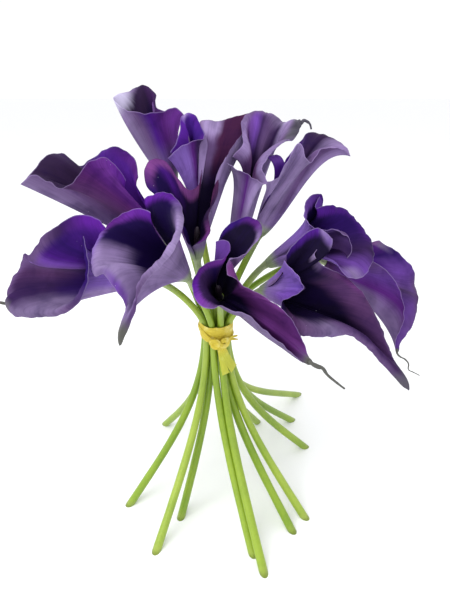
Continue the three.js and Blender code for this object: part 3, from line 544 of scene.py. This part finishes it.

# Each leaf's colours, at degrees round its root from one margin over the tail to the other: along the
# rim inside, on the blade below it, and outside. Inside they are partly the leaf's own colour and partly
# painted light: the pale stops (lilac, lavender, haze, bloom) on the rolled lips are painted sheen and
# highlight.
spatheLooks = {
    "left_front": {
        "rim": {-205: "bright", -110: "grape", -90: "lavender", -45: "lilac", -18: "amethyst", 8: "mauve",
                60: "bloom", 118: "bloom", 150: "bright"},
        "blade": {-92: "night", -75: "lilac", -40: "bloom", -10: "lilac", 110: "lilac", 140: "night"},
        "outside": {-205: "orchid", 0: "lilac", 90: "haze", 130: "orchid"},
        "throat": "night", "throatEnds": 0.49, "rimStarts": 0.8, "insideGain": 0.84, "tipLength": 19,
    },
    "left_low": {
        "rim": {-185: "bright", -168: "dusk", -145: "mauve", -5: "mauve", 20: "haze", 42: "haze",
                66: "mauve", 112: "indigo"},
        "blade": {-190: "violet", -165: "indigo", -140: "violet", -120: "amethyst", -90: "mauve",
                  -20: "plum", 0: "dusk", 10: "dusk", 30: "haze", 60: "haze", 110: "indigo"},
        "outside": {-205: "amethyst", 74: "lilac", 95: "lavender"},
        "throat": "indigo", "throatEnds": 0.44, "insideGain": 0.92,
    },
    "left_high": {
        "rim": {-205: "grape", -150: "violet", -100: "dusk", -60: "ash", -18: "ash", 5: "haze", 40: "ash",
                150: "dusk", 205: "violet"},
        "blade": {-140: "violet", -100: "ash", 150: "ash", 205: "violet"},
        "outside": {-205: "violet", -60: "ash", 5: "haze", 40: "mauve", 80: "plum", 120: "berry",
                    145: "grape", 168: "orchid", 205: "bright"},
        "throat": "violet", "tip": "haze", "outsideGain": 1.1,
    },
    "upper_left": {
        "rim": {-205: "grape", -100: "dusk", -50: "lilac", 0: "pale", 40: "haze", 90: "plum", 205: "grape"},
        "blade": {-205: "grape", -100: "ash", 50: "ash", 205: "dusk"},
        "outside": {-205: "grape", -10: "lilac", 30: "haze", 60: "mauve", 95: "violet", 130: "grape",
                    180: "orchid"},
        "throat": "night", "throatEnds": 0.6, "rimStarts": 0.84, "insideGain": 0.8, "tip": "pale",
        "tipLength": 16,
    },
    "upper_mid": {
        "rim": {-205: "bloom", -165: "orchid", -138: "grape", -60: "indigo", -10: "violet", 30: "lilac",
                75: "violet"},
        "blade": {-205: "violet", -45: "indigo", 130: "violet"},
        "outside": {-168: "lavender", -147: "grape", -125: "dusk", 0: "mauve"},
        "throat": "night", "tipLength": 0, "insideGain": 1.2, "footPales": 0.1,
    },
    "centre": {
        "rim": {-205: "orchid", -160: "magenta", -120: "ash", -60: "ash", -25: "maroon", 14: "maroon",
                19: "bloom", 28: "bloom", 38: "wine", 90: "magenta", 108: "magenta", 122: "indigo",
                205: "night"},
        "blade": {-205: "dusk", -160: "ink", -60: "ink", -25: "wine", 15: "maroon", 20: "mauve",
                  28: "mauve", 45: "ink", 80: "ink", 98: "violet", 108: "night"},
        "outside": {-205: "lilac", -60: "haze", 36: "lilac", 111: "grape", 205: "night"},
        "tip": "maroon", "throatEnds": 0.56, "insideGain": 0.95, "edge": "maroon",
    },
    "centre_front": {
        "rim": {-150: "grape", -100: "bright", -68: "orchid", -45: "mauve", -15: "plum", 0: "mauve",
                6: "berry", 15: "berry", 22: "magenta", 60: "magenta", 98: "lilac", 107: "lilac",
                115: "grape", 130: "indigo"},
        "blade": {-205: "dusk", -178: "night", -136: "dusk", -73: "dusk", -40: "ink", -20: "dusk",
                  -5: "berry", 25: "berry", 60: "ink"},
        "outside": {-205: "amethyst", -150: "orchid", -24: "haze", -8: "haze", 40: "magenta", 85: "magenta",
                    110: "lilac", 150: "dusk"},
        "throatEnds": 0.46, "rimStarts": 0.8, "insideGain": 1.05, "outsideGain": 0.85,
    },
    "upper_back": {
        "rim": {-205: "haze", -74: "lilac", -35: "lilac", -15: "grey", -3: "grey", 7: "pale", 14: "haze",
                90: "mauve", 118: "lilac", 160: "lilac", 205: "mauve"},
        "blade": {-60: "plum", -15: "mauve", 5: "bloom", 11: "dusk", 24: "mauve", 55: "dusk",
                  76: "amethyst", 120: "plum"},
        "outside": {-185: "haze", -145: "grape", -120: "bloom", -20: "bloom", 205: "haze"},
        "throat": "dusk", "tip": "grey",
    },
    "upper_right": {
        "rim": {-205: "amethyst", -160: "violet", -100: "mauve", 0: "lilac", 32: "haze", 52: "ash",
                112: "ash", 130: "violet", 187: "amethyst"},
        "blade": {-205: "violet", -100: "dusk", 15: "haze", 30: "haze", 50: "ash", 110: "ash",
                  130: "indigo", 205: "violet"},
        "outside": {-205: "bloom", -100: "haze", -50: "mauve", -25: "mauve", -10: "lilac"},
        "throat": "ash", "tip": "lilac", "insideGain": 1.1, "outsideGain": 1.15,
    },
    "right_high": {
        "rim": {-205: "amethyst", -181: "lilac", -160: "amethyst", -118: "dusk", -60: "violet",
                72: "violet", 109: "amethyst", 125: "lavender", 188: "mauve", 205: "amethyst"},
        "blade": {-205: "dusk", -160: "amethyst", -130: "dusk", -60: "indigo", 25: "indigo", 60: "night",
                  123: "night", 205: "dusk"},
        "outside": {-205: "lavender", 60: "violet", 121: "lavender", 140: "lavender", 205: "dusk"},
        "throat": "night", "tipLength": 0,
    },
    "right_front": {
        # the haze and bloom rim stops from 145 to 156 are a painted highlight on the curled hook
        "rim": {-205: "lavender", -165: "dusk", -125: "night", -94: "plum", -50: "lilac", -20: "mauve",
                8: "mauve", 30: "plum", 55: "magenta", 94: "plum", 121: "dusk", 145: "haze", 156: "bloom",
                161: "violet", 205: "indigo"},
        "blade": {-205: "dusk", -122: "ink", -94: "plum", -45: "haze", -28: "mauve", -12: "dusk",
                  25: "plum", 60: "plum", 100: "ash", 121: "ink"},
        "outside": {-170: "lavender", -133: "amethyst", -44: "haze", 60: "plum"},
        "throatEnds": 0.6, "rimStarts": 0.84, "insideGain": 0.95, "outsideGain": 1.4, "tip": "grey",
        "tipLength": 30,
    },
    "right_far": {
        "rim": {-205: "plum", -30: "amethyst", 0: "amethyst", 34: "mauve", 97: "plum", 151: "mauve",
                178: "amethyst", 188: "indigo", 197: "haze", 205: "magenta"},
        "blade": {-205: "grape", 0: "amethyst", 97: "mauve", 180: "amethyst", 191: "indigo", 205: "grape"},
        "outside": {-205: "mauve", -110: "amethyst", -31: "grape", 0: "haze"},
        "throat": "violet", "tipLength": 5, "insideGain": 0.8, "outsideGain": 0.9, "footPales": 0.1,
        "foot": "plum",
    },
}


def shade(name, gain=1):
    return tint(*palette[name], gain)


# The finish of one spathe: three bands of colour up the inside, whose pale stops on the rolled lips are
# painted sheen and highlight, and one outside that pales and greens at the stem; veins run up the leaf, a
# fine line of colour runs round the rim and the tip is dry.
def spatheFinish(name):
    look = {**spatheLook, **spatheLooks[name]}
    material, base, shader = newFinish("spathe " + name)
    around, up = leafParts(base)
    rimGap, rootGap, tipGap = mark(base, "rimGap"), mark(base, "rootGap"), mark(base, "tipGap")
    inside = mark(base, "inside").rise(0.3, 0.7)
    place = objectPlace(base)
    streaks = {0: around * look["veinsAcross"], 1: up * look["veinsUp"]}
    veins = base.make("ShaderNodeCombineXYZ", {}, streaks).noise(1, 3, Roughness=0.6)
    broad, fine = place.noise(look["patches"], 3), place.noise(look["grain"])
    spread = (around - spatheShape["tailLine"]) * (360 / look["bandSpan"]) + 0.5 + (broad - 0.5) * 0.02

    def band(key, gain):
        span = look["bandSpan"]
        stops = [(turn / span + 0.5, shade(colour, gain)) for turn, colour in look[key].items()]
        return base.make("ShaderNodeValToRGB", {"stops": stops}, {"Fac": spread})

    climb = up + (broad - 0.5) * 0.1 + (veins - 0.5) * 0.06
    gain = look["insideGain"]
    ends, starts = look["throatEnds"], look["rimStarts"]
    inner = climb.rise(ends - 0.1, ends + 0.13).mix(shade(look["throat"], gain), band("blade", gain))
    # the rim band, whose pale stops on the rolled lips are painted sheen and highlight
    inner = climb.rise(starts, starts + 0.14).mix(inner, band("rim", gain))
    gain = look["outsideGain"]
    pale = rootGap.rise(*look["palesOver"]) * look["footPales"]
    outer = pale.mix(band("outside", gain), shade("lilac", gain))
    outer = rootGap.rise(*look["greensOver"]).mix(outer, shade(look["foot"]))
    blend = inside.mix(outer, inner)
    cloud = place.noise(look["clouds"], 4, Distortion=0.6)
    blend = (cloud.rise(0.5, 0.72) * look["darkClouds"]).mix(blend, shade("night"))
    blend = (veins.rise(0.52, 0.3) * look["darkVeins"]).mix(blend, shade("night"))
    light = cloud.rise(0.5, 0.3) * look["lightClouds"] + veins.rise(0.5, 0.75) * look["lightVeins"]
    blend = blend.scaled(1 + light)
    blend = (rimGap.rise(*look["edgeOver"]) * look["edgeLight"]).mix(blend, shade(look["edge"]))
    dry = (tipGap + (veins - 0.5) * 6).rise(look["tipLength"], look["tipLength"] * 0.45 - 1)
    blend = dry.mix(blend, shade(look["tip"]))
    specks = base.make("ShaderNodeTexVoronoi", {}, {"Vector": place, "Scale": look["specks"]})
    dust = specks.rise(0.09, 0.05) * place.noise(look["speckGroups"]).rise(0.62, 0.7) * look["dust"]
    blend = dust.mix(blend, tint(205, 200, 220))
    relief = (veins * 0.6 + fine * 0.25 + broad * 0.5).bumps(0.4, 0.0005)
    base.feed(shader, {
        "Base Color": blend, "Roughness": 0.42 + veins * 0.16 + dry * 0.3, "Normal": relief,
        "Specular IOR Level": look["shine"],
    })
    return material


# Stems: where the bunch is tied, nine stand in a ring round a core of three.
stemShape = {
    "footRadius": 3.3,
    "shaftRadius": 3.1,
    "shaftEnds": 0.6,  # the share of the way to the tie where the stem starts to thin
    "tiedRadius": 2.6,
    "topRadius": 2.5,
    "swell": 0.7,  # it swells a little over this length under the flower
    "swellLength": 7,
    "neckRadius": 2,
    "neckStart": 0.5,
    "neckLength": 6,
    "tieHeight": 145,
    "ring": {"turn": 15, "step": 40, "reach": 3.5},  # how far out its stems stand, in tied radii
    "core": {"turn": -30, "step": 120, "reach": 1.36},
    "footLean": 1.7,  # how much flatter a stem leaves the ground than a straight one would
    "dropPull": 1.2,  # how far a stem runs on straight down below the tie, and up above it
    "risePull": 0.7,
    "oval": 0.025,
    "ovalTwist": 60,  # the length in which the oval turns by half a radian
    "ridges": 9,
    "ridgeHeight": 0.012,
    "waver": 0.015,
    "waverLength": 40,
    "cutHollow": 0.8,
    "sides": 24,
    "steps": 70,
}


def curvePoints(start, startPull, end, endPull, t):
    a, b, c, d = curveWeights(t[:, None])
    return a * start + b * startPull + c * end + d * endPull


# A stem's middle line and radius: one curve from the foot to the tie and one on into the flower.
def stemPath(flower, steps):
    shape = stemShape
    group = "ring" if "ring" in flower else "core"
    turn = np.radians(shape[group]["turn"] + shape[group]["step"] * flower[group])
    reach = shape["tiedRadius"] * shape[group]["reach"]
    tied = np.array([reach * np.cos(turn), reach * np.sin(turn), shape["tieHeight"]])
    foot = np.array([*flower["foot"], 0], float)
    base = np.array(flower["base"], float)
    axis = axesOf(flower)[0]
    lower, upper = np.linalg.norm(tied - foot), np.linalg.norm(base - tied)
    leaving = unit((tied - foot) * [shape["footLean"], shape["footLean"], 1]) * lower
    top = np.array([0, 0, 1])
    t = np.linspace(0, 1, steps)
    below = curvePoints(foot, leaving, tied, top * lower * shape["dropPull"], t)
    above = curvePoints(tied, top * upper * shape["risePull"], base, axis * upper * flower["reach"], t)[1:]
    neck = base + axis * np.array([[shape["neckStart"]], [shape["neckLength"]]])
    places = [0, shape["shaftEnds"], 1]
    thick = np.interp(t, places, [shape["footRadius"], shape["shaftRadius"], shape["tiedRadius"]])
    thin = shape["tiedRadius"] + (shape["topRadius"] - shape["tiedRadius"]) * t[1:]
    thin = thin + shape["swell"] * rise(t[1:] * upper, upper - shape["swellLength"], upper)
    return np.concatenate([below, above, neck]), np.concatenate([thick, thin, 2 * [shape["neckRadius"]]])


# A stem: rings of points square to the path, not quite round; the foot's ring is slid along the stem
# onto the ground, and the cut's middle is a little hollow.
def stemMesh(flower, seed):
    shape = stemShape
    path, radius = stemPath(flower, shape["steps"])
    ahead = unit(np.gradient(path, axis=0))
    heading = np.radians(flower["heading"])
    level = np.array([-np.sin(heading), np.cos(heading), 0])
    first = unit(level - ahead * (ahead @ level)[:, None])
    length = lengthAlong(path)
    turn = ringTurns(shape["sides"])
    oval = shape["oval"] * np.sin(2 * turn + length[:, None] / shape["ovalTwist"] + seed)
    ridges = shape["ridgeHeight"] * np.sin(shape["ridges"] * turn + seed)
    waver = shape["waver"] * wave(length, shape["waverLength"], seed)[:, None]
    reach = radius[:, None] * (1 + oval + ridges) * (1 + waver)
    rings = ringsRound(path, first, np.cross(ahead, first), turn, reach, reach)
    rings[0] = rings[0] - ahead[0] * (rings[0, :, 2:] / ahead[0, 2])
    rings = rings + ahead[:, None] * np.maximum(-rings[..., 2:], 0) / np.abs(ahead[:, None, 2:])
    points, faces = closedTube(rings, shape["cutHollow"])
    along = np.append(np.repeat(length, shape["sides"]), [0, length[-1]])
    cut = np.append(np.zeros(len(points) - 2), [1, 0])
    return points, faces, {"along": along, "toFlower": length[-1] - along, "cut": cut}


# The stems' finish, in turn one of three greens: fresh with long fine streaks, greyer under the flower,
# darkened by painted shade where its end sits inside the flower's throat, pale where it is cut.
stemLook = {
    "fresh": [(148, 174, 44), (160, 182, 62), (140, 168, 36)],
    "deep": [(112, 144, 22), (120, 152, 34), (104, 140, 20)],
    "streaks": (700, 700, 9),
    "patches": 28,
    "grey": (150, 165, 118),
    "greysOver": (34, 8),  # from this far below the stem's top end up to this far
    # painted shade: the near-black colour of the stem's end inside the flower's throat
    "dark": (24, 18, 32),
    "throatShadeOver": (6.3, 5.6),
    "foot": (160, 166, 80),
    "footOver": (7, 0),
    "cut": (214, 220, 170),
    "shine": 0.6,
}


def stemFinish(number):
    look = stemLook
    material, base, shader = newFinish(f"stem{number}")
    place = objectPlace(base)
    streaks = base.make("ShaderNodeMapping", {}, {"Vector": place, "Scale": look["streaks"]}).noise(1, 3)
    fresh = (streaks * 0.35 + place.noise(look["patches"]) * 0.7).rise(0.2, 0.75)
    colour = fresh.mix(tint(*look["deep"][number]), tint(*look["fresh"][number]))
    colour = mark(base, "toFlower").rise(*look["greysOver"]).mix(colour, tint(*look["grey"]))
    # painted shade on the stem's end inside the throat
    colour = mark(base, "toFlower").rise(*look["throatShadeOver"]).mix(colour, tint(*look["dark"]))
    colour = (mark(base, "along").rise(*look["footOver"]) * 0.3).mix(colour, tint(*look["foot"]))
    colour = mark(base, "cut").rise(0.15, 0.5).mix(colour, tint(*look["cut"]))
    base.feed(shader, {
        "Base Color": colour, "Roughness": 0.32 + streaks * 0.16, "Normal": streaks.bumps(0.2, 0.0003),
        "Specular IOR Level": look["shine"],
    })
    return material


# Spadix: a blunt spike on the stem's end, covered with rows of tiny florets.
spadixShape = {
    "radius": 2.162,  # without its florets
    "footWidth": 0.8,
    "bluntness": 6,
    "length": 18,
    "start": 6.3,  # along the flower's axis from its base
    "sides": 60,
    "steps": 110,
    "bump": 0.22,
    "floretsRound": 10,
    "floretsUp": 26,
}


# The radius follows a blunt spike, and the florets are bumps in rows that wind round it both ways.
def spadixMesh(flower):
    shape = spadixShape
    axis, tail, side = axesOf(flower)
    t = np.linspace(0, 1, shape["steps"])[:, None]
    turn = ringTurns(shape["sides"])
    width = shape["footWidth"] + (1 - shape["footWidth"]) * np.minimum(3 * t, 1)
    body = np.sqrt(1 - 0.999 * t ** shape["bluntness"]) * width
    around, up = shape["floretsRound"] / 2 * turn, shape["floretsUp"] / 2 * np.pi * t
    florets = np.abs(np.sin(around + up) * np.sin(around - up))
    radius = (shape["radius"] + shape["bump"] * np.sqrt(florets)) * body
    middle = np.array(flower["base"], float) + axis * (shape["start"] + t * shape["length"])
    points, faces = closedTube(ringsRound(middle, tail, side, turn, radius, radius))
    return points, faces, {"floret": np.append(florets, [0, 0])}


# The deep colour between the florets is painted shade in their hollows; their tops are lighter.
spadixLook = {"deep": (16, 9, 20), "florets": (44, 28, 46), "grains": (90, 74, 84), "grain": 1500}


def spadixFinish():
    look = spadixLook
    material, base, shader = newFinish("spadix")
    grain = objectPlace(base).noise(look["grain"])
    # painted shade: darkest between the florets, lighter on their tops
    colour = mark(base, "floret").rise(0.1, 0.7).mix(tint(*look["deep"]), tint(*look["florets"]))
    colour = (grain.rise(0.55, 0.75) * 0.4).mix(colour, tint(*look["grains"]))
    base.feed(shader, {"Base Color": colour, "Roughness": 0.6, "Normal": grain.bumps(0.3, 0.0003)})
    return material


# Raffia tie: flat strands wound round the bunch, a knot in front and its loose ends. Each strand goes through
# points [degrees round from the front, height, clearance from the stems] and gets widths at these points.
tieShape = {
    "sides": 20,
    "stepsPerPoint": 14,
    "pleats": 5,
    "pleatDepth": 0.3,
    "pleatWander": 18,  # the length over which they shift sideways
    "widthWaver": 0.06,
    "waverLength": 7,
    "strands": [
        {"through": [[-180, 149, 0.5], [-90, 149.5, 0.5], [-20, 148.5, 0.6], [60, 149, 0.5], [180, 149, 0.5]],
         "width": [8, 7.5, 8, 8, 8], "depth": 0.7},
        {"through": [[-180, 143, 0.5], [-95, 144.5, 0.6], [-30, 143, 0.7], [20, 142.5, 0.7], [90, 143, 0.6],
                     [180, 143, 0.5]],
         "width": [7, 7, 8, 8, 8, 7], "depth": 0.8},
        {"through": [[-100, 149, 0.9], [-60, 147.5, 1.4], [-25, 143.5, 1.8], [5, 140, 2.2], [40, 141, 1.6],
                     [100, 142, 0.9]],
         "width": [3, 4.2, 4, 3.4, 3.4, 2.4], "depth": 1.1},
        {"through": [[-14, 138, 1.6], [-10, 141.5, 3.2], [2, 142, 3.8], [8, 139, 3.4], [-2, 137, 2.6],
                     [-14, 138, 1.6]],
         "width": [3.6, 5, 5, 4.6, 4.8, 3.6], "depth": 1.8},
        {"through": [[12, 139, 1.8], [24, 142.5, 3], [36, 141, 3], [33, 137.5, 2.6], [20, 137.5, 2.8],
                     [10, 140, 3.4]],
         "width": [3.4, 4.2, 4.4, 4.2, 4.2, 3.4], "depth": 1.7},
        {"through": [[16, 139.5, 2.4], [25, 132, 1.6], [39, 123, 1.2], [55, 113.5, 1.2]],
         "width": [3.4, 5.5, 6.8, 8.4], "depth": 0.5},
        {"through": [[8, 139, 2.2], [14, 131, 1.4], [20, 122, 1.3], [26, 112.5, 1.4]],
         "width": [2.6, 3.8, 5, 6], "depth": 0.45},
        {"through": [[40, 140.5, 2], [58, 141.5, 2.2], [76, 141, 5]], "width": [2.6, 2.4, 1.4], "depth": 0.8},
        {"through": [[44, 139.5, 1.8], [60, 139.5, 2.4], [74, 138, 5.6]], "width": [2.2, 2, 1], "depth": 0.7},
    ],
}


# How far the outermost stem reaches from the middle of the tie, at each height.
def reachOfStems(height):
    reach = np.zeros_like(height)
    for flower in flowers.values():
        path, radius = stemPath(flower, 80)
        out = np.hypot(path[:, 0], path[:, 1]) + radius
        reach = np.maximum(reach, np.interp(height, np.maximum.accumulate(path[:, 2]), out))
    return reach


# A strand: an oval with small pleats, carried along its path with its flat side to the stems.
def strandMesh(strand, seed):
    shape = tieShape
    through = np.array(strand["through"], float)
    place = np.linspace(0, len(through) - 1, (len(through) - 1) * shape["stepsPerPoint"] + 1)
    turn, height, clear = [smoothValues(column, place) for column in through.T]
    width = smoothValues(strand["width"], place)
    reach = reachOfStems(height) + clear + strand["depth"] / 2
    around = np.radians(turn)
    outward = np.stack([np.sin(around), -np.cos(around), 0 * around], axis=-1)
    path = outward * reach[:, None] + np.stack([0 * height, 0 * height, height], axis=-1)
    ahead = unit(np.gradient(path, axis=0))
    wide = unit(np.cross(outward, ahead))
    length = lengthAlong(path)
    corner = ringTurns(shape["sides"])
    wander = wave(length, shape["pleatWander"], seed)[:, None]
    pleat = 1 + shape["pleatDepth"] * np.sin(shape["pleats"] * corner + wander)
    waver = shape["widthWaver"] * wave(length, shape["waverLength"], seed + 1)
    half = (width / 2 * (1 + waver))[:, None]
    rings = ringsRound(path, wide, np.cross(ahead, wide), corner, half, strand["depth"] / 2 * pleat)
    points, faces = closedTube(rings)
    leaf = np.stack([np.cos(corner) * half, length[:, None] + 0 * corner], axis=-1).reshape(-1, 2)
    leaf = np.concatenate([leaf, [[0, 0], [0, length[-1]]]]) + [seed * 20, 0]
    return points, faces, leaf


# Raffia: dry yellow strips with fibres along them, paler in patches and greener low down.
raffiaLook = {
    "deep": (184, 160, 22),
    "light": (232, 214, 78),
    "fibresAcross": 3.2,
    "fibresAlong": 0.12,
    "pale": (242, 234, 150),
    "patches": 160,
    "low": (186, 198, 66),
    "lowOver": (0.137, 0.126),  # from this height in metres down to this
    "shine": 0.35,
}


def raffiaFinish():
    look = raffiaLook
    material, base, shader = newFinish("raffia")
    across, along = leafParts(base)
    lines = {0: across * look["fibresAcross"], 1: along * look["fibresAlong"]}
    fibres = base.make("ShaderNodeCombineXYZ", {}, lines).noise(1, 4, Roughness=0.7)
    place = objectPlace(base)
    colour = fibres.rise(0.3, 0.7).mix(tint(*look["deep"]), tint(*look["light"]))
    colour = (place.noise(look["patches"]).rise(0.5, 0.75) * 0.6).mix(colour, tint(*look["pale"]))
    colour = (place.part(2).rise(*look["lowOver"]) * 0.7).mix(colour, tint(*look["low"]))
    base.feed(shader, {
        "Base Color": colour, "Roughness": 0.55, "Normal": fibres.bumps(0.6, 0.0005),
        "Specular IOR Level": look["shine"],
    })
    return material


# The flowers, each from its stem up.
stemFinishes = [stemFinish(number) for number in range(len(stemLook["fresh"]))]
spikeFinish = spadixFinish()
for number, (name, flower) in enumerate(flowers.items()):
    slotName = "spathe_maroon" if name in ("centre", "centre_front") else "spathe_purple"
    stem, leaf, spike = stemMesh(flower, number), spatheMesh(flower, number), spadixMesh(flower)
    addPiece("fresh_stem_" + name, *stem, stemFinishes[number % len(stemFinishes)], "stem", ["stem_" + name])
    addPiece("rolled_spathe_" + name, *leaf, spatheFinish(name), slotName, ["spathe_" + name])
    addPiece("floret_spike_" + name, *spike, spikeFinish, "spadix", ["spadix_" + name])
print("flowers made:", len(flowers))

# The tie: all its strands are one piece.
points, faces, leaf, count = [], [], [], 0
for number, strand in enumerate(tieShape["strands"]):
    strandPoints, strandFaces, strandLeaf = strandMesh(strand, number)
    points.append(strandPoints)
    leaf.append(strandLeaf)
    faces += [block + count for block in strandFaces]
    count += len(strandPoints)
values = {"leaf": np.concatenate(leaf)}
addPiece("raffia_tie", np.concatenate(points), faces, values, raffiaFinish(), "raffia", ["tie"])
print("tie made:", len(tieShape["strands"]), "strands")


# A white floor and soft white light from all round, a little stronger from above on the left; the camera
# stands level with the top of the bunch and looks down at it. The lamp's and floor's places are in metres.
room = {
    "floorReach": 12.0,
    "light": 1.03,
    "lampSize": 1.2,
    "lampPower": 14,
    "lampPlace": (-0.7, -0.5, 1.3),
    "lampAim": (0, 0, 0.2),
    "lens": 27,
    "cameraPlace": [7, -313, 320],  # in millimetres from the tie, as the flowers are
    "cameraDrop": 25.6,  # degrees below level
}


def makeStage():
    mesh = bpy.data.meshes.new("floor")
    corners = room["floorReach"] * np.array([[-1, -1, 0], [1, -1, 0], [1, 1, 0], [-1, 1, 0]])
    mesh.from_pydata(corners, [], [(0, 1, 2, 3)])
    material, base, shader = newFinish("white floor")
    base.feed(shader, {"Base Color": tint(250, 251, 253), "Roughness": 0.9, "Specular IOR Level": 0.1})
    mesh.materials.append(material)
    addObject("floor", mesh)
    world = bpy.data.worlds.new("white room")
    world.use_nodes = True
    backdrop = world.node_tree.nodes["Background"]
    backdrop.inputs["Color"].default_value = (1, 1, 1, 1)
    backdrop.inputs["Strength"].default_value = room["light"]
    scene.world = world
    lamp = bpy.data.lights.new("soft lamp", "AREA")
    lamp.size = room["lampSize"]
    lamp.energy = room["lampPower"]
    aim = Vector(room["lampAim"]) - Vector(room["lampPlace"])
    addObject("soft lamp", lamp, room["lampPlace"], aim.to_track_quat("-Z", "Y").to_euler())


def makeCamera():
    camera = bpy.data.cameras.new("camera")
    camera.lens = room["lens"]
    place = (np.array(room["cameraPlace"]) - bunchMiddle) * millimetre
    scene.camera = addObject("camera", camera, place, (np.radians(90 - room["cameraDrop"]), 0, 0))


makeStage()
makeCamera()
scene.view_settings.view_transform = "Standard"
print("stage and camera ready")
